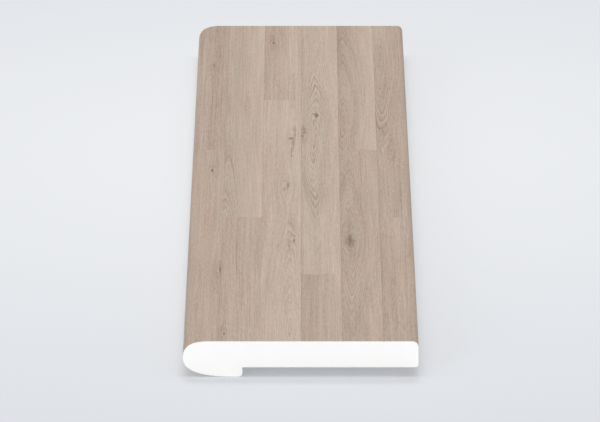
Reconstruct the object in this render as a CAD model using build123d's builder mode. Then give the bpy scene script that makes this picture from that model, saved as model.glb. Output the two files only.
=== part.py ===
"""Stair nose moulding: one length of flush nosing with a rounded nose and a drop lip.

The section is drawn with its nose to the left and pushed out to both sides of the middle of the length.
+X runs from the nose to the back edge, +Y along the length and +Z up, with z = 0 at the foot of the lip.
"""

import os

from build123d import *

# Driving dimensions, in millimetres
length = 1200.0  # a stair's width, which is a length that such nosing is sold in
width = 125.0  # nose tip to back edge
tongue_thickness = 14.0  # the thickness of the floor that it finishes
lip_drop = 5.0  # how far the lip hangs below the tongue
lip_length = 31.7  # nose tip to the back face of the lip
lip_foot = 6.0  # flat stretch under the lip, measured from its back face
lip_corner_radius = 2.1  # eased corner between the foot and the back face of the lip
nose_tip_drop = 8.6  # foremost point of the nose, below the walking face
nose_top_run = 13.3  # nose tip to where the walking face turns flat
nose_fullness = 0.67  # share of the way to its corner that the nose's curve is drawn out; 0.55 is an ellipse
back_top_radius = 3.2  # eased corner between the walking face and the back edge
back_bottom_radius = 1.7  # eased corner under the back edge

# Places of the section's corners, as (across, up)
nose_x = -width / 2
back_x = width / 2
lip_x = nose_x + lip_length
walking_z = lip_drop + tongue_thickness

nose_tip = Vector(nose_x, walking_z - nose_tip_drop)
nose_top = Vector(nose_x + nose_top_run, walking_z)
nose_foot = Vector(lip_x - lip_foot, 0)


def nose_quarter(start, end):
    """A quarter of the nose, which leaves the tip upright and arrives level at the other end."""
    corner = Vector(start.X, end.Y)
    start_pull = start + (corner - start) * nose_fullness
    end_pull = end + (corner - end) * nose_fullness
    return Bezier(start, start_pull, end_pull, end)


# The moulding: its section, with the corners of the back edge and the lip eased, along the whole length
with BuildPart() as stair_nose:
    with BuildSketch(Plane.XZ) as section:
        with BuildLine():
            nose_quarter(nose_tip, nose_top)
            Polyline(
                nose_top,
                (back_x, walking_z),
                (back_x, lip_drop),
                (lip_x, lip_drop),
                (lip_x, 0),
                nose_foot,
            )
            nose_quarter(nose_tip, nose_foot)
        make_face()
        lip_corner = section.vertices().group_by(Axis.Y)[0].sort_by(Axis.X)[-1]
        fillet(lip_corner, lip_corner_radius)
        back_bottom = section.vertices().group_by(Axis.X)[-1].sort_by(Axis.Y)[0]
        fillet(back_bottom, back_bottom_radius)
        back_top = section.vertices().group_by(Axis.Y)[-1].sort_by(Axis.X)[-1]
        fillet(back_top, back_top_radius)
    extrude(amount=length / 2, both=True)

stair_nose.part.label = "stair_nose"

os.makedirs("parts", exist_ok=True)
export_step(stair_nose.part, "parts/stair_nose.step")
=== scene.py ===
import math

import bmesh
import bpy
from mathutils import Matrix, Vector


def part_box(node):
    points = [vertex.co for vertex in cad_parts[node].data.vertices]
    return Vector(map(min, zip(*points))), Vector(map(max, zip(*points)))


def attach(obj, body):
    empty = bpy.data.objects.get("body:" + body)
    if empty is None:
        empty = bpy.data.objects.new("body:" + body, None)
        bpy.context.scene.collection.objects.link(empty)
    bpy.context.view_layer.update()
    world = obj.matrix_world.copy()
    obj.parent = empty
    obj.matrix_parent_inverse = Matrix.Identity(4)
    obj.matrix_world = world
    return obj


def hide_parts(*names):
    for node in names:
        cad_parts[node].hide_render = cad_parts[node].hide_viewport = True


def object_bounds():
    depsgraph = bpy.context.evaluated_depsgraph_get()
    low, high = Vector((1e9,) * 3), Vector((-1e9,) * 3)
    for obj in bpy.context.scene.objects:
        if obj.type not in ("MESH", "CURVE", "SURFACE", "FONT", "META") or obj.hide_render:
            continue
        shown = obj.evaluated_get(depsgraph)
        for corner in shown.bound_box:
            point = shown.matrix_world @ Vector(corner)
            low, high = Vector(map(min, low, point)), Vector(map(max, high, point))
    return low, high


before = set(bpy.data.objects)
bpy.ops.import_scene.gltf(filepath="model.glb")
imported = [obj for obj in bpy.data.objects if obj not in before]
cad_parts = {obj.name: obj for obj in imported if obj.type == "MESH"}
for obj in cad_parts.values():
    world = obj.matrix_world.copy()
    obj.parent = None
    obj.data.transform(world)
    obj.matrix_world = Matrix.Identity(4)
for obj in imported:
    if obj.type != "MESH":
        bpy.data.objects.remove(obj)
cadLow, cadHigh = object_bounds()
print("frame loaded:", sorted(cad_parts))

scene = bpy.context.scene
scene.view_settings.view_transform = "Standard"


def linear(red, green, blue):  # a colour read off a screen, as Blender wants it
    def channel(value):
        value = value / 255
        return value / 12.92 if value <= 0.04045 else ((value + 0.055) / 1.055) ** 2.4
    return (channel(red), channel(green), channel(blue), 1.0)


# Small helpers for node trees

def addNode(tree, kind, **settings):
    node = tree.nodes.new("ShaderNode" + kind)
    for name, value in settings.items():
        setattr(node, name, value)
    return node


def feed(tree, socket, source):  # links a socket, or sets a plain value
    if isinstance(source, bpy.types.NodeSocket):
        tree.links.new(source, socket)
    else:
        socket.default_value = source


def calc(tree, operation, *sources, clamp=False):
    node = addNode(tree, "Math", operation=operation, use_clamp=clamp)
    for socket, source in zip(node.inputs, sources):
        feed(tree, socket, source)
    return node.outputs[0]


def weigh(tree, total, value, weight, middle=0.0):  # total plus the weighted value, counted from its middle
    if middle:
        value = calc(tree, "SUBTRACT", value, middle)
    return calc(tree, "MULTIPLY_ADD", value, weight, total)


def spread(tree, value, low, high, toLow=0.0, toHigh=1.0, smooth=True):  # from one range to another
    node = addNode(tree, "MapRange", interpolation_type="SMOOTHSTEP" if smooth else "LINEAR")
    for socket, source in zip(node.inputs, (value, low, high, toLow, toHigh)):
        feed(tree, socket, source)
    return node.outputs[0]


def pulse(tree, value, rise, full, fall, gone):  # 0, up to 1 and back to 0 as the value grows
    return calc(tree, "SUBTRACT", spread(tree, value, rise, full), spread(tree, value, fall, gone))


def ovalDistance(tree, across, along):
    square = calc(tree, "MULTIPLY_ADD", across, across, calc(tree, "MULTIPLY", along, along))
    return calc(tree, "SQRT", square)


def leafDistance(tree, across, along, power):  # as an oval for a power of 2, and more pointed below it
    first = calc(tree, "POWER", calc(tree, "ABSOLUTE", across), power)
    second = calc(tree, "POWER", calc(tree, "ABSOLUTE", along), power)
    return calc(tree, "POWER", calc(tree, "ADD", first, second), 1 / power)


def grains(tree, across, along, layer, width, length, detail=2.0, rough=0.5):  # noise of that grain
    place = addNode(tree, "CombineXYZ")
    feed(tree, place.inputs[0], calc(tree, "DIVIDE", across, width))
    feed(tree, place.inputs[1], calc(tree, "DIVIDE", along, length))
    feed(tree, place.inputs[2], layer)
    noise = addNode(tree, "TexNoise")
    feed(tree, noise.inputs["Vector"], place.outputs[0])
    noise.inputs["Scale"].default_value = 1.0
    noise.inputs["Detail"].default_value = detail
    noise.inputs["Roughness"].default_value = rough
    return noise.outputs[0]


def shades(tree, value, stops, interpolation="LINEAR"):  # a colour ramp of (place, colour) stops
    node = addNode(tree, "ValToRGB")
    ramp = node.color_ramp
    ramp.interpolation = interpolation
    while len(ramp.elements) < len(stops):
        ramp.elements.new(1.0)
    for element, (place, colour) in zip(ramp.elements, stops):
        element.position = place
        element.color = colour
    feed(tree, node.inputs[0], value)
    return node.outputs[0]


def blendColours(tree, share, first, second, how="MIX"):
    node = addNode(tree, "Mix", data_type="RGBA", blend_type=how)
    feed(tree, node.inputs[0], share)
    feed(tree, node.inputs[6], first)
    feed(tree, node.inputs[7], second)
    return node.outputs[2]


def addBump(tree, shader, height, strength, distance):  # bump on a shader
    bump = addNode(tree, "Bump")
    bump.inputs["Strength"].default_value = strength
    bump.inputs["Distance"].default_value = distance
    feed(tree, bump.inputs["Height"], height)
    feed(tree, shader.inputs["Normal"], bump.outputs[0])


def newMaterial(name):
    material = bpy.data.materials.new(name)
    material.use_nodes = True
    tree = material.node_tree
    return material, tree, tree.nodes["Principled BSDF"]


# Oak decor, printed as narrow staves laid side by side along the moulding

oakSet = {
    "staveWidth": 0.0219,
    "firstStaveEdge": -0.0655,  # nose side of the first stave that lies on the walking face
    "stavesBefore": 3,  # staves that go on round the nose and under the lip
    # each stave: its butt joint, then its near and its far board, and for each board its tone, the lean of
    # the tone across it, its heart line, the middle of its arches along it and the strength of its figure
    "staves": [
        (0.310, (-0.20, 0.1, 0.9, 0.0, 0.10), (0.20, -0.2, -0.3, 0.7, 0.60)),
        (-0.240, (0.10, 0.2, -0.2, -0.7, 0.70), (-0.20, 0.1, 0.9, 0.0, 0.10)),
        (-0.050, (0.10, -0.2, 1.0, 0.0, 0.10), (-0.10, 0.2, -0.5, 0.3, 0.50)),
        (0.087, (-0.42, 0.1, 1.0, 0.0, 0.10), (-0.60, 0.0, -1.0, 0.0, 0.15)),
        (-0.170, (-0.33, 0.3, 1.0, 0.0, 0.10), (0.05, 0.6, -0.58, -0.45, 0.80)),
        (0.283, (0.38, 0.2, 0.31, -0.92, 0.70), (-0.05, 0.6, -1.0, 0.0, 0.15)),
        (-0.374, (-0.52, 0.6, -1.0, 0.0, 0.10), (0.26, 0.4, -0.18, 0.20, 0.90)),
        (0.083, (-0.40, 0.4, -0.34, -0.42, 0.48), (-0.30, 1.0, -0.50, 0.36, 0.52)),
        (-0.170, (-0.30, 0.0, 1.0, 0.0, 0.10), (-0.40, 0.1, -0.45, 0.72, 0.48)),
        (0.210, (0.10, 0.2, -0.5, 0.2, 0.40), (-0.10, 0.1, 0.9, 0.0, 0.10)),
    ],
    "staveSeed": 2.7,  # steps through the noise from stave to stave, and from near to far board
    "boardSeed": 1.3,
    "noiseSlices": {  # where each use of the noise starts, so that no two look alike
        "greyPatch": 3, "streaks": 5, "pores": 9, "ringPatch": 17, "knotRags": 25, "heartWander": 50,
        "ringWaver": 60, "grainSway": 70, "bands": 80, "fibres": 85, "threads": 90, "fineThreads": 95,
        "patches": 100,
    },
    "seamWidth": 0.0003,
    # growth rings, and the heart line that they lie about
    "heartReach": 0.016,  # from a stave's middle to a heart line of 1, which lies outside the stave
    "heartWander": (0.006, 0.22),  # how far the heart line strays, and over what length
    "heartFade": (0.003, 0.010),  # from the heart line to where the figure starts to fade and is gone
    "archSlope": 0.034,  # how fast the rings close towards the ends of their arches
    "archDepth": 0.018,  # how deep the rings dip at most
    "archPoint": 1.5,  # 2 for round arches, less for pointed ones
    "archFade": (0.24, 0.42),  # from the arches' middle to where they start to fade and are faintest
    "ringWidth": 0.0009,
    "ringWaver": (0.004, 0.09, 3.0, 1.4),  # width, length and octaves of wavering, and the rings it spans
    "ringPatch": (0.010, 0.16),  # size of the stretches where rings show well
    "ringLine": (0.45, 0.80, 0.84, 0.95),  # where in a ring its dark line starts, is full, ends and is gone
    "ringGleam": (0.00, 0.08, 0.10, 0.35),  # the same for the pale line beside it
    "gleamShare": 0.6,
    "ringLuck": (0.35, 1.0),  # strength of the faintest and of the boldest ring
    "ringPatchCut": (0.38, 0.56, 0.40, 1.0),  # from and to which noise, and from and to which strength
    "restFigure": 0.1,  # share of the figure that is left past the arches, and of the rings elsewhere
    "figured": (0.2, 0.6),  # strength of figure from which the broad grain follows the rings
    # noise drawn out along the grain: width, length, octaves, roughness and share in the tone
    "grainSway": (0.004, 0.50),  # how far the grain strays sideways, and over what length
    "broadGrain": ("bands", "fibres"),
    "grainLayers": {
        "bands": (0.0034, 0.90, 2.0, 0.5, 0.25),
        "fibres": (0.0010, 0.40, 2.0, 0.6, 0.27),
        "threads": (0.00055, 0.11, 2.0, 0.6, 0.36),
        "fineThreads": (0.00040, 0.013, 2.0, 0.6, 0.44),
        "patches": (0.010, 0.24, 2.0, 0.5, 0.18),
    },
    # dark marks cut out of such noise: width, length, octaves, where a mark starts and is full, and share
    "grainMarks": {
        "streaks": (0.0014, 0.22, 2.0, 0.60, 0.78, -0.10),
        "pores": (0.00032, 0.006, 1.0, 0.56, 0.72, -0.14),
    },
    # knots: place across and along, stave, half sizes of the knot and of the swirl round it, darkness
    "knots": [
        (-0.0164, 0.525, 2, 0.0008, 0.0050, 0.0045, 0.050, 0.70),
        (-0.0520, 0.430, 0, 0.0005, 0.0030, 0.0020, 0.020, 0.60),
        (-0.0505, 0.005, 0, 0.0010, 0.0045, 0.0030, 0.030, 0.80),
        (-0.0325, 0.260, 1, 0.0006, 0.0050, 0.0030, 0.040, 0.30),
        (-0.0058, 0.130, 2, 0.0016, 0.0040, 0.0035, 0.040, 0.75),
        (-0.0048, 0.262, 2, 0.0004, 0.0040, 0.0018, 0.025, 0.35),
        (-0.0033, 0.152, 2, 0.0005, 0.0300, 0.0018, 0.070, 0.45),
        (-0.0043, 0.112, 2, 0.0006, 0.0260, 0.0020, 0.070, 0.52),
        (-0.0053, 0.080, 2, 0.0005, 0.0240, 0.0018, 0.060, 0.48),
        (-0.0072, -0.052, 2, 0.0008, 0.0110, 0.0050, 0.060, 0.50),
        (-0.0094, -0.064, 2, 0.0013, 0.0060, 0.0025, 0.030, 0.34),
        (-0.0052, -0.188, 2, 0.0004, 0.0035, 0.0018, 0.025, 0.40),
        (-0.0122, -0.276, 2, 0.0005, 0.0030, 0.0018, 0.020, 0.35),
        (-0.0062, -0.270, 2, 0.0010, 0.0080, 0.0040, 0.045, 0.40),
        (-0.0036, -0.253, 2, 0.0007, 0.0050, 0.0030, 0.030, 0.85),
        (0.0092, 0.222, 3, 0.0012, 0.0080, 0.0050, 0.055, 0.95),
        (0.0020, 0.153, 3, 0.0014, 0.0036, 0.0045, 0.045, 0.50),
        (0.0012, 0.139, 3, 0.0011, 0.0045, 0.0025, 0.030, 0.46),
        (0.0274, -0.256, 4, 0.0026, 0.0240, 0.0065, 0.065, 0.55),
        (0.0272, -0.250, 4, 0.0011, 0.0110, 0.0020, 0.020, 0.80),
        (-0.0440, -0.357, 0, 0.0007, 0.0090, 0.0045, 0.050, 0.80),
        (-0.0408, -0.575, 1, 0.0006, 0.0030, 0.0030, 0.025, 0.70),
        (0.0480, 0.158, 5, 0.0007, 0.0060, 0.0045, 0.060, 0.40),
        (0.0525, 0.080, 5, 0.0005, 0.0050, 0.0040, 0.050, 0.25),
    ],
    "knotBend": 0.85,  # how much of the grain's width a knot pushes aside
    "knotCore": 1.3,  # size of the dark core beside the knot's own
    "knotEdge": (0.28, 0.76),  # where a knot's core starts and is full
    "rimSize": 2.2,  # of the pale rim beside the knot, and where the rim starts, is full, ends and is gone
    "rimPulse": (0.28, 0.42, 0.52, 0.72),
    "knotTail": (0.7, 3.0, 0.6),  # width, length and darkness of a knot's tails beside the knot's own
    "tailEdge": (0.10, 1.00),  # where a tail starts and is full
    "knotRags": (0.0016, 0.010, 3.0, 0.6),  # width, length, octaves and roughness of a knot's edge
    "ragCut": (0.32, 0.60, 0.55, 1.05),  # from and to which noise, and from and to which strength
    # dark to pale tones of the print, what shifts them, and the hues beside them
    "tones": [
        (0.0, linear(131, 107, 91)), (0.28, linear(168, 146, 130)), (0.5, linear(189, 169, 153)),
        (0.74, linear(205, 187, 172)), (1.0, linear(221, 206, 193)),
    ],
    "middleTone": 0.492,
    "toneShare": 0.14,
    "leanShare": 0.26,
    "ringShare": -0.27,
    "seamShare": -0.14,
    "haloShare": -0.08,
    "rimShare": 0.09,
    "greyTint": linear(185, 171, 156),
    "greyShare": 0.35,
    "greyPatch": (0.014, 0.22),
    "greyCut": (0.35, 0.65),  # noise at which a grey patch starts and is full
    "knotTone": linear(112, 92, 77),
    "knotShare": 0.85,
    "knotStreaks": (0.36, 0.60, 0.75, 1.30),  # from and to which fine threads, and how dark a knot is there
    # finish
    "roughness": (0.2, 0.8, 0.72, 0.60),  # a dark and a pale tone, and how rough each is
    "specular": 0.12,
    "bump": (0.35, 0.00008),
    "relief": {"fineThreads": 0.35, "pores": -0.6, "seams": -0.8},
}


def placeOnStaves(tree, across, along):  # finds a point's stave and board, and what that board is like
    count = len(oakSet["staves"])
    halfLength = cadHigh.y
    fromFirst = calc(tree, "SUBTRACT", across, oakSet["firstStaveEdge"])
    stavePlace = calc(tree, "DIVIDE", fromFirst, oakSet["staveWidth"])
    stave = calc(tree, "FLOOR", stavePlace)
    sideStep = calc(tree, "SUBTRACT", calc(tree, "FRACT", stavePlace), 0.5)
    lookUp = calc(tree, "DIVIDE", calc(tree, "ADD", stave, oakSet["stavesBefore"] + 0.5), count)
    spare = 0.0  # fills the last ramp
    rows = [(joint / halfLength, *near, *far, spare) for joint, near, far in oakSet["staves"]]
    facts = []
    for first in range(0, len(rows[0]), 3):  # a stepped ramp keeps three facts of every stave, from -1 to 1
        threes = [[0.5 + fact / 2 for fact in row[first:first + 3]] for row in rows]
        stops = [(index / count, (*three, 1.0)) for index, three in enumerate(threes)]
        parts = addNode(tree, "SeparateColor")
        feed(tree, parts.inputs[0], shades(tree, lookUp, stops, "CONSTANT"))
        facts += [calc(tree, "MULTIPLY_ADD", part, 2.0, -1.0) for part in parts.outputs]

    joint = calc(tree, "MULTIPLY", facts[0], halfLength)
    far = calc(tree, "GREATER_THAN", along, joint)
    own = []
    for nearFact, farFact in zip(facts[1:6], facts[6:11]):
        own.append(weigh(tree, nearFact, calc(tree, "SUBTRACT", farFact, nearFact), far))
    tone, lean, heart, arch, figure = own
    archPlace = calc(tree, "MULTIPLY", arch, halfLength)
    board = weigh(tree, calc(tree, "MULTIPLY", stave, oakSet["staveSeed"]), far, oakSet["boardSeed"])
    return stave, sideStep, joint, board, tone, lean, heart, archPlace, figure


def boardLayer(tree, board, name):  # a slice of that noise for each board
    return calc(tree, "ADD", board, oakSet["noiseSlices"][name])


def makeKnotFlow():  # bends the grain round one knot, and masks the knot and the dark wood about it
    group = bpy.data.node_groups.new("knotFlow", "ShaderNodeTree")
    wanted = ("Across", "Along", "Stave", "Rags", "Knot Across", "Knot Along", "Knot Stave",
              "Knot Width", "Knot Length", "Swirl Width", "Swirl Length", "Darkness")
    for name in wanted:
        group.interface.new_socket(name, in_out="INPUT", socket_type="NodeSocketFloat")
    for name in ("Bend", "Knot", "Halo", "Rim"):
        group.interface.new_socket(name, in_out="OUTPUT", socket_type="NodeSocketFloat")
    given = group.nodes.new("NodeGroupInput").outputs
    result = group.nodes.new("NodeGroupOutput").inputs
    offAcross = calc(group, "SUBTRACT", given["Across"], given["Knot Across"])
    offAlong = calc(group, "SUBTRACT", given["Along"], given["Knot Along"])
    sameStave = calc(group, "COMPARE", given["Stave"], given["Knot Stave"], 0.5)

    def nearness(width, length, wider=1.0, longer=1.0):  # 1 at the middle, fading with the oval distance
        across = calc(group, "DIVIDE", offAcross, calc(group, "MULTIPLY", given[width], wider))
        along = calc(group, "DIVIDE", offAlong, calc(group, "MULTIPLY", given[length], longer))
        oval = calc(group, "MULTIPLY_ADD", across, across, calc(group, "MULTIPLY", along, along))
        near = calc(group, "POWER", math.e, calc(group, "MULTIPLY", oval, -1.0))
        return calc(group, "MULTIPLY", near, sameStave)

    tailWidth, tailLength, tailDark = oakSet["knotTail"]
    swirl = nearness("Swirl Width", "Swirl Length")
    core = nearness("Knot Width", "Knot Length", oakSet["knotCore"], oakSet["knotCore"])
    core = spread(group, calc(group, "MULTIPLY", core, given["Rags"]), *oakSet["knotEdge"])
    tail = nearness("Knot Width", "Knot Length", tailWidth, tailLength)
    tail = spread(group, calc(group, "MULTIPLY", tail, given["Rags"]), *oakSet["tailEdge"], 0.0, tailDark)
    dark = calc(group, "MAXIMUM", core, tail)
    rim = nearness("Knot Width", "Knot Length", oakSet["rimSize"], oakSet["rimSize"])
    rim = pulse(group, calc(group, "MULTIPLY", rim, given["Rags"]), *oakSet["rimPulse"])
    pushed = calc(group, "MULTIPLY", swirl, offAcross)
    feed(group, result["Bend"], calc(group, "MULTIPLY", pushed, -oakSet["knotBend"]))
    feed(group, result["Knot"], calc(group, "MULTIPLY", dark, given["Darkness"]))
    feed(group, result["Halo"], swirl)
    feed(group, result["Rim"], calc(group, "MULTIPLY", rim, given["Darkness"]))
    return group


def placeKnots(tree, across, along, stave, board):
    knotFlow = makeKnotFlow()
    rags = grains(tree, across, along, boardLayer(tree, board, "knotRags"), *oakSet["knotRags"])
    rags = spread(tree, rags, *oakSet["ragCut"])
    bend, knots, halo, rims = 0.0, 0.0, 0.0, 0.0
    for knot in oakSet["knots"]:
        flow = addNode(tree, "Group", node_tree=knotFlow)
        for socket, source in zip(flow.inputs, (across, along, stave, rags, *knot)):
            feed(tree, socket, source)
        bend = calc(tree, "ADD", bend, flow.outputs["Bend"])
        knots = calc(tree, "MAXIMUM", knots, flow.outputs["Knot"])
        halo = calc(tree, "MAXIMUM", halo, flow.outputs["Halo"])
        rims = calc(tree, "MAXIMUM", rims, flow.outputs["Rim"])
    return bend, knots, halo, rims


def drawRings(tree, along, bent, bend, sideStep, board, heart, archPlace, figure):
    # distance from the heart line, across the board and down into it
    wander, wanderLength = oakSet["heartWander"]
    stray = grains(tree, 0.0, along, boardLayer(tree, board, "heartWander"), 1.0, wanderLength)
    fromHeart = weigh(tree, bend, sideStep, oakSet["staveWidth"])
    fromHeart = weigh(tree, fromHeart, heart, -oakSet["heartReach"])
    fromHeart = weigh(tree, fromHeart, stray, wander, 0.5)
    alongArch = calc(tree, "SUBTRACT", along, archPlace)
    depth = calc(tree, "TANH", calc(tree, "MULTIPLY", alongArch, oakSet["archSlope"] / oakSet["archDepth"]))
    depth = calc(tree, "MULTIPLY", depth, oakSet["archDepth"])
    width, length, octaves, rings = oakSet["ringWaver"]
    waver = grains(tree, bent, along, boardLayer(tree, board, "ringWaver"), width, length, octaves)
    ringPlace = leafDistance(tree, fromHeart, depth, oakSet["archPoint"])
    ringPlace = calc(tree, "DIVIDE", ringPlace, oakSet["ringWidth"])
    ringPlace = weigh(tree, ringPlace, waver, rings)

    # a dark and a pale line in each ring, some rings stronger than others
    within = calc(tree, "FRACT", ringPlace)
    lines = pulse(tree, within, *oakSet["ringLine"])
    lines = weigh(tree, lines, pulse(tree, within, *oakSet["ringGleam"]), -oakSet["gleamShare"])
    luck = addNode(tree, "TexWhiteNoise", noise_dimensions="1D")
    feed(tree, luck.inputs["W"], calc(tree, "ADD", calc(tree, "FLOOR", ringPlace), board))
    boldness = spread(tree, luck.outputs["Value"], 0.0, 1.0, *oakSet["ringLuck"])
    lines = calc(tree, "MULTIPLY", lines, boldness)
    patch = grains(tree, bent, along, boardLayer(tree, board, "ringPatch"), *oakSet["ringPatch"])
    lines = calc(tree, "MULTIPLY", lines, spread(tree, patch, *oakSet["ringPatchCut"]))

    # they show near the heart line and fade past the arches
    nearHeart = spread(tree, calc(tree, "ABSOLUTE", fromHeart), *oakSet["heartFade"], 1.0, 0.0)
    nearHeart = calc(tree, "MULTIPLY", nearHeart, figure)
    rest = oakSet["restFigure"]
    nearArch = spread(tree, calc(tree, "ABSOLUTE", alongArch), *oakSet["archFade"], 1.0, rest)
    show = weigh(tree, rest, calc(tree, "MULTIPLY", nearHeart, nearArch), 1.0 - rest)
    ringGrain = calc(tree, "MULTIPLY", ringPlace, oakSet["ringWidth"])
    follow = calc(tree, "MULTIPLY", spread(tree, figure, *oakSet["figured"]), nearArch)
    return calc(tree, "MULTIPLY", lines, show), nearHeart, ringGrain, follow


def drawSeams(tree, along, sideStep, joint):  # thin seams between staves and at the butt joints
    sideGap = calc(tree, "SUBTRACT", 0.5, calc(tree, "ABSOLUTE", sideStep))
    sideGap = calc(tree, "MULTIPLY", sideGap, oakSet["staveWidth"])
    endGap = calc(tree, "ABSOLUTE", calc(tree, "SUBTRACT", along, joint))
    return spread(tree, calc(tree, "MINIMUM", sideGap, endGap), 0.0, oakSet["seamWidth"], 1.0, 0.0)


def makeOakDecor():
    material, tree, shader = newMaterial("oakDecor")
    uvMap = addNode(tree, "UVMap", uv_map="decorWrap")
    wrapped = addNode(tree, "SeparateXYZ")
    feed(tree, wrapped.inputs[0], uvMap.outputs[0])
    across, along = wrapped.outputs[0], wrapped.outputs[1]

    stave, sideStep, joint, board, tone, lean, heart, archPlace, figure = placeOnStaves(tree, across, along)
    bend, knots, halo, rims = placeKnots(tree, across, along, stave, board)
    bent = calc(tree, "ADD", across, bend)
    rings, nearHeart, ringGrain, follow = drawRings(
        tree, along, bent, bend, sideStep, board, heart, archPlace, figure)
    parts = {"seams": drawSeams(tree, along, sideStep, joint)}

    # tone of the print
    shade = weigh(tree, oakSet["middleTone"], tone, oakSet["toneShare"])
    shade = weigh(tree, shade, calc(tree, "MULTIPLY", sideStep, lean), oakSet["leanShare"])
    shade = weigh(tree, shade, rings, oakSet["ringShare"])
    shade = weigh(tree, shade, parts["seams"], oakSet["seamShare"])
    shade = weigh(tree, shade, halo, oakSet["haloShare"])
    shade = weigh(tree, shade, rims, oakSet["rimShare"])
    sway, swayLength = oakSet["grainSway"]
    stray = grains(tree, 0.0, along, boardLayer(tree, board, "grainSway"), 1.0, swayLength)
    grain = weigh(tree, bent, stray, sway, 0.5)
    for name, (width, length, octaves, rough, share) in oakSet["grainLayers"].items():
        layer = boardLayer(tree, board, name)
        parts[name] = grains(tree, grain, along, layer, width, length, octaves, rough)
        if name in oakSet["broadGrain"]:
            arched = grains(tree, ringGrain, along, layer, width, length, octaves, rough)
            parts[name] = weigh(tree, parts[name], calc(tree, "SUBTRACT", arched, parts[name]), follow)
        shade = weigh(tree, shade, parts[name], share, 0.5)
    for name, (width, length, octaves, start, full, share) in oakSet["grainMarks"].items():
        noise = grains(tree, grain, along, boardLayer(tree, board, name), width, length, octaves)
        parts[name] = spread(tree, noise, start, full)
        shade = weigh(tree, shade, parts[name], share)

    # colour, greyer by the heart lines and in patches, dark in the knots
    colour = shades(tree, shade, oakSet["tones"])
    hues = grains(tree, across, along, boardLayer(tree, board, "greyPatch"), *oakSet["greyPatch"])
    grey = calc(tree, "ADD", spread(tree, hues, *oakSet["greyCut"]), nearHeart)
    tinted = blendColours(tree, 1.0, colour, oakSet["greyTint"], "COLOR")
    colour = blendColours(tree, calc(tree, "MULTIPLY", grey, oakSet["greyShare"]), colour, tinted)
    streaked = spread(tree, parts["fineThreads"], *oakSet["knotStreaks"])
    knotted = calc(tree, "MULTIPLY", knots, streaked)
    knotted = calc(tree, "MULTIPLY", knotted, oakSet["knotShare"], clamp=True)
    colour = blendColours(tree, knotted, colour, oakSet["knotTone"])
    feed(tree, shader.inputs["Base Color"], colour)

    # matte finish with a light relief
    roughness = spread(tree, shade, *oakSet["roughness"], smooth=False)
    feed(tree, shader.inputs["Roughness"], roughness)
    shader.inputs["Specular IOR Level"].default_value = oakSet["specular"]
    height = 0.0
    for name, share in oakSet["relief"].items():
        height = weigh(tree, height, parts[name], share)
    addBump(tree, shader, height, *oakSet["bump"])
    print("oak decor: %d nodes" % len(tree.nodes))
    return material


# White core, bare at the sawn ends and under the tongue

coreSet = {
    "colour": linear(250, 249, 247),
    "speckColour": linear(238, 237, 233),
    "speckSize": 0.0004,
    "speckOctaves": 2.0,
    "specks": (0.56, 0.74),  # where in the noise a speck starts and is full
    "sawRadius": 0.105,  # of the saw that cut the ends
    "sawMiddle": -0.02,
    "sawPitch": 0.0009,
    "roughness": (0.3, 0.7, 0.50, 0.62),  # from and to which noise, and from and to how rough
    "specular": 0.25,
    "bump": (0.12, 0.00005),
    "relief": {"saw": 0.25, "specks": -0.5},
}


def makeWhiteCore():
    material, tree, shader = newMaterial("whiteCore")
    coords = addNode(tree, "TexCoord")
    place = addNode(tree, "SeparateXYZ")
    feed(tree, place.inputs[0], coords.outputs["Object"])
    cells = addNode(tree, "TexNoise")
    feed(tree, cells.inputs["Vector"], coords.outputs["Object"])
    cells.inputs["Scale"].default_value = 1 / coreSet["speckSize"]
    cells.inputs["Detail"].default_value = coreSet["speckOctaves"]
    specks = spread(tree, cells.outputs[0], *coreSet["specks"])
    colour = blendColours(tree, specks, coreSet["colour"], coreSet["speckColour"])
    feed(tree, shader.inputs["Base Color"], colour)
    feed(tree, shader.inputs["Roughness"], spread(tree, cells.outputs[0], *coreSet["roughness"]))
    shader.inputs["Specular IOR Level"].default_value = coreSet["specular"]

    # saw arcs across the ends, which run as fine lines along the underside
    sideways = calc(tree, "SUBTRACT", place.outputs[0], coreSet["sawMiddle"])
    upwards = calc(tree, "ADD", place.outputs[2], coreSet["sawRadius"])
    turns = calc(tree, "DIVIDE", ovalDistance(tree, sideways, upwards), coreSet["sawPitch"])
    sawLines = calc(tree, "SINE", calc(tree, "MULTIPLY", turns, 2 * math.pi))
    height = calc(tree, "MULTIPLY", sawLines, coreSet["relief"]["saw"])
    height = weigh(tree, height, specks, coreSet["relief"]["specks"])
    addBump(tree, shader, height, *coreSet["bump"])
    print("white core: %d nodes" % len(tree.nodes))
    return material


# The moulding: one section pushed along the whole length

mouldingSet = {
    "tongueThickness": 0.014,
    "lipLength": 0.0317,
    "lipFoot": 0.006,  # flat stretch under the lip
    "lipCornerRadius": 0.0021,
    "noseTipDrop": 0.0086,  # foremost point of the nose, below the walking face
    "noseTopRun": 0.0133,  # nose tip to where the walking face turns flat
    "noseFullness": 0.67,
    "backTopRadius": 0.0032,
    "backBottomRadius": 0.0017,
    "decorReturn": 0.008,  # decor carried on under the tongue, past its back corner
    "sawnEase": 0.00025,  # rubbed-down edge round the sawn ends
    "roundPull": 0.5523,  # share of the way to its corner that makes a quarter circle
    "curveSteps": 28,
    "lengthCuts": 23,
    "creaseAngle": 30,
    "levelSlack": 1e-6,  # how far off the walking face a point still lies on it
    "downFacing": -0.99,  # upright part of a face's normal, below which the face looks straight down
}


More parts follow.
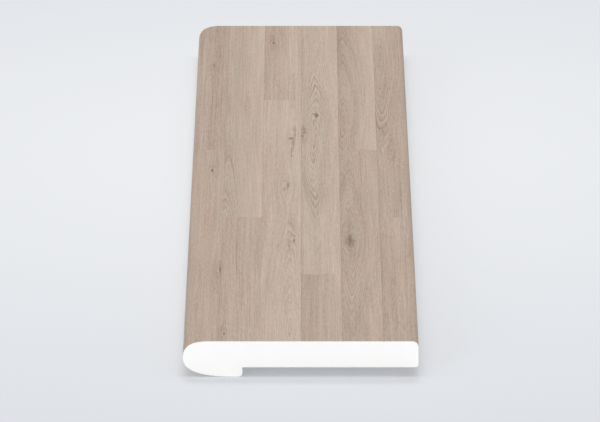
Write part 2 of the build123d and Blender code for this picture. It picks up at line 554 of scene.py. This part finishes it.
def drawSection(low, high):
    size = mouldingSet
    lipX = low.x + size["lipLength"]
    tongueZ = high.z - size["tongueThickness"]

    def spot(x, z):
        return Vector((x, low.y + size["sawnEase"], z))

    def turn(start, corner, end, pull):  # a rounded corner: two points, their handles drawn towards it
        return [(start, None, start.lerp(corner, pull)), (end, end.lerp(corner, pull), None)]

    noseTip = spot(low.x, high.z - size["noseTipDrop"])
    lipRadius = size["lipCornerRadius"]
    topRadius = size["backTopRadius"]
    footRadius = size["backBottomRadius"]
    full, quarter = size["noseFullness"], size["roundPull"]
    under = turn(spot(lipX - size["lipFoot"], low.z), spot(low.x, low.z), noseTip, full)
    over = turn(noseTip, spot(low.x, high.z), spot(low.x + size["noseTopRun"], high.z), full)
    tip = (noseTip, under[1][1], over[0][2])  # the two halves of the nose share it
    stops = [(spot(lipX, tongueZ), None, None)]
    stops += turn(spot(lipX, low.z + lipRadius), spot(lipX, low.z), spot(lipX - lipRadius, low.z), quarter)
    stops += [under[0], tip, over[1]]
    backTop, backFoot = spot(high.x, high.z), spot(high.x, tongueZ)
    stops += turn(spot(high.x - topRadius, high.z), backTop, spot(high.x, high.z - topRadius), quarter)
    stops += turn(spot(high.x, tongueZ + footRadius), backFoot, spot(high.x - footRadius, tongueZ), quarter)
    stops += [(spot(high.x - footRadius - size["decorReturn"], tongueZ), None, None)]

    curve = bpy.data.curves.new("noseSection", "CURVE")
    curve.dimensions = "3D"
    curve.resolution_u = size["curveSteps"]
    spline = curve.splines.new("BEZIER")
    spline.bezier_points.add(len(stops) - 1)
    spline.use_cyclic_u = True
    for point, (place, before, after) in zip(spline.bezier_points, stops):
        point.co = place
        point.handle_left_type = "FREE" if before else "VECTOR"
        point.handle_right_type = "FREE" if after else "VECTOR"
        point.handle_left = before or place
        point.handle_right = after or place
    drawing = bpy.data.objects.new("noseSection", curve)
    scene.collection.objects.link(drawing)
    bpy.context.view_layer.update()
    drawn = drawing.evaluated_get(bpy.context.evaluated_depsgraph_get())
    outline = bpy.data.meshes.new_from_object(drawn)
    bpy.data.objects.remove(drawing)
    return outline


def makeMoulding():
    size = mouldingSet
    low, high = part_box("stair_nose")
    bm = bmesh.new()
    bm.from_mesh(drawSection(low, high))
    bm.verts.ensure_lookup_table()

    # how far round the section each point lies, equal to x on the flat of the walking face
    wrap = bm.verts.layers.float.new("wrap")
    walked = 0.0
    flat = None
    for before, vert in zip([bm.verts[0], *bm.verts], bm.verts):
        walked += (vert.co - before.co).length
        vert[wrap] = walked
        if flat is None and vert.co.z > high.z - size["levelSlack"]:
            flat = walked - vert.co.x
    for vert in bm.verts:
        vert[wrap] -= flat

    ring = bm.edges[:]
    pushed = bmesh.ops.extrude_edge_only(bm, edges=ring)["geom"]
    farVerts = [item for item in pushed if isinstance(item, bmesh.types.BMVert)]
    bmesh.ops.translate(bm, verts=farVerts, vec=(0, high.y - low.y - 2 * size["sawnEase"], 0))
    farRing = [item for item in pushed if isinstance(item, bmesh.types.BMEdge)]
    caps = []
    for edges in (ring, farRing):
        caps += bmesh.ops.contextual_create(bm, geom=edges)["faces"]
    bmesh.ops.recalc_face_normals(bm, faces=bm.faces[:])
    rails = [edge for edge in bm.edges if edge.verts[0].co.y * edge.verts[1].co.y < 0]  # from end to end
    bmesh.ops.subdivide_edges(bm, edges=rails, cuts=size["lengthCuts"], use_grid_fill=True)

    uvLayer = bm.loops.layers.uv.new("decorWrap")
    for face in bm.faces:
        for loop in face.loops:
            loop[uvLayer].uv = (loop.vert[wrap], loop.vert.co.y)
    eased = bmesh.ops.inset_region(bm, faces=caps, thickness=size["sawnEase"], depth=size["sawnEase"],
                                   use_even_offset=True)["faces"]

    lipX = low.x + size["lipLength"]
    decorEnd = high.x - size["backBottomRadius"] - size["decorReturn"]
    for face in bm.faces:
        middle = face.calc_center_median()
        bare = face.normal.z < size["downFacing"] and lipX < middle.x < decorEnd
        face.material_index = 1 if bare else 0
        face.smooth = True
    for face in caps + eased:
        face.material_index = 1
    for edge in bm.edges:
        edge.smooth = edge.calc_face_angle(0.0) < math.radians(size["creaseAngle"])

    mesh = bpy.data.meshes.new("stairNose")
    bm.to_mesh(mesh)
    bm.free()
    piece = bpy.data.objects.new("stairNose", mesh)
    scene.collection.objects.link(piece)
    mesh.materials.append(makeOakDecor())
    mesh.materials.append(makeWhiteCore())
    even = piece.modifiers.new("evenShading", "WEIGHTED_NORMAL")
    even.keep_sharp = True
    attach(piece, "root")
    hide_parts("stair_nose")
    print("moulding: %d faces" % len(mesh.polygons))


# Pale floor, soft light and the camera

studioSet = {
    "floorRadius": 70.0,
    "floorSides": 64,
    "paintedPoolColour": linear(236, 238, 241),
    "floorEdgeColour": linear(220, 223, 228),
    "paintedPoolWidth": 0.70,  # half sizes of a painted pool of light on the floor, paler than its edge colour, and how far along the moulding its middle is
    "paintedPoolLength": 1.3,
    "paintedPoolMiddle": 0.2,
    "floorGlow": 0.5,  # share of the floor's colour that is seen without shading
    "worldColour": linear(255, 255, 255),
    "worldLight": 0.42,
    # strength, angle above the floor, turn about the upright and softness of each lamp, in degrees
    "lamps": {
        "frontLamp": (1.33, 8, -20, 14),
        "rearLamp": (1.62, 40, 180, 24),
        "topLamp": (0.65, 75, 0, 60),
    },
}


def seenShare(tree):  # 1 for what the camera sees, straight or in a gloss or through glass
    path = addNode(tree, "LightPath")
    seen = calc(tree, "MAXIMUM", path.outputs["Is Camera Ray"], path.outputs["Is Glossy Ray"])
    return calc(tree, "MAXIMUM", seen, path.outputs["Is Transmission Ray"])


def makePaleFloor():
    material, tree, shader = newMaterial("paleFloor")
    coords = addNode(tree, "TexCoord")
    place = addNode(tree, "SeparateXYZ")
    feed(tree, place.inputs[0], coords.outputs["Object"])
    # painted pool of light: the floor colour is paler round the moulding and fades to the edge colour
    # further out
    sideways = calc(tree, "DIVIDE", place.outputs[0], studioSet["paintedPoolWidth"])
    lengthways = calc(tree, "SUBTRACT", place.outputs[1], studioSet["paintedPoolMiddle"])
    lengthways = calc(tree, "DIVIDE", lengthways, studioSet["paintedPoolLength"])
    outOfPaintedPool = spread(tree, ovalDistance(tree, sideways, lengthways), 0.0, 1.0)
    colour = blendColours(tree, outOfPaintedPool, studioSet["paintedPoolColour"], studioSet["floorEdgeColour"])
    feed(tree, shader.inputs["Base Color"], colour)
    shader.inputs["Roughness"].default_value = 1.0
    shader.inputs["Specular IOR Level"].default_value = 0.0
    glow = addNode(tree, "Emission")
    feed(tree, glow.inputs["Color"], colour)
    both = addNode(tree, "MixShader")
    feed(tree, both.inputs[0], calc(tree, "MULTIPLY", seenShare(tree), studioSet["floorGlow"]))
    feed(tree, both.inputs[1], shader.outputs[0])
    feed(tree, both.inputs[2], glow.outputs[0])
    feed(tree, tree.nodes["Material Output"].inputs[0], both.outputs[0])
    return material


def makeStudio():
    bm = bmesh.new()
    bmesh.ops.create_circle(bm, cap_ends=True, segments=studioSet["floorSides"],
                             radius=studioSet["floorRadius"])
    mesh = bpy.data.meshes.new("floor")
    bm.to_mesh(mesh)
    bm.free()
    floor = bpy.data.objects.new("floor", mesh)
    scene.collection.objects.link(floor)
    mesh.materials.append(makePaleFloor())

    world = bpy.data.worlds.new("softRoom")
    world.use_nodes = True
    tree = world.node_tree
    sky = tree.nodes["Background"]
    seen = seenShare(tree)
    colour = blendColours(tree, seen, studioSet["worldColour"], studioSet["floorEdgeColour"])
    strength = spread(tree, seen, 0.0, 1.0, studioSet["worldLight"], 1.0, smooth=False)
    feed(tree, sky.inputs["Color"], colour)
    feed(tree, sky.inputs["Strength"], strength)
    scene.world = world

    for name, (strength, rise, turned, softness) in studioSet["lamps"].items():
        lamp = bpy.data.lights.new(name, "SUN")
        lamp.energy = strength
        lamp.angle = math.radians(softness)
        holder = bpy.data.objects.new(name, lamp)
        holder.rotation_euler = (math.radians(90 - rise), 0.0, math.radians(turned))
        holder.visible_glossy = name != "rearLamp"  # no glare along the walking face
        scene.collection.objects.link(holder)
    print("studio: floor, world and %d lamps" % len(studioSet["lamps"]))


cameraSet = {
    "standOff": 7.2,  # from the near end
    "height": 1.2,
    "sideStep": -0.0004,
    "pitch": 8.773,
    "lens": 826.8,
    "sensorWidth": 36.0,
    "farthest": 100.0,  # how far it sees
}


def makeCamera():
    camera = bpy.data.cameras.new("camera")
    camera.sensor_width = cameraSet["sensorWidth"]
    camera.lens = cameraSet["lens"]
    camera.clip_end = cameraSet["farthest"]
    holder = bpy.data.objects.new("camera", camera)
    holder.location = (cameraSet["sideStep"], cadLow.y - cameraSet["standOff"], cameraSet["height"])
    holder.rotation_euler = (math.radians(90 - cameraSet["pitch"]), 0.0, 0.0)
    scene.collection.objects.link(holder)
    scene.camera = holder
    print("camera: %.0f mm lens" % camera.lens)


makeMoulding()
makeStudio()
makeCamera()
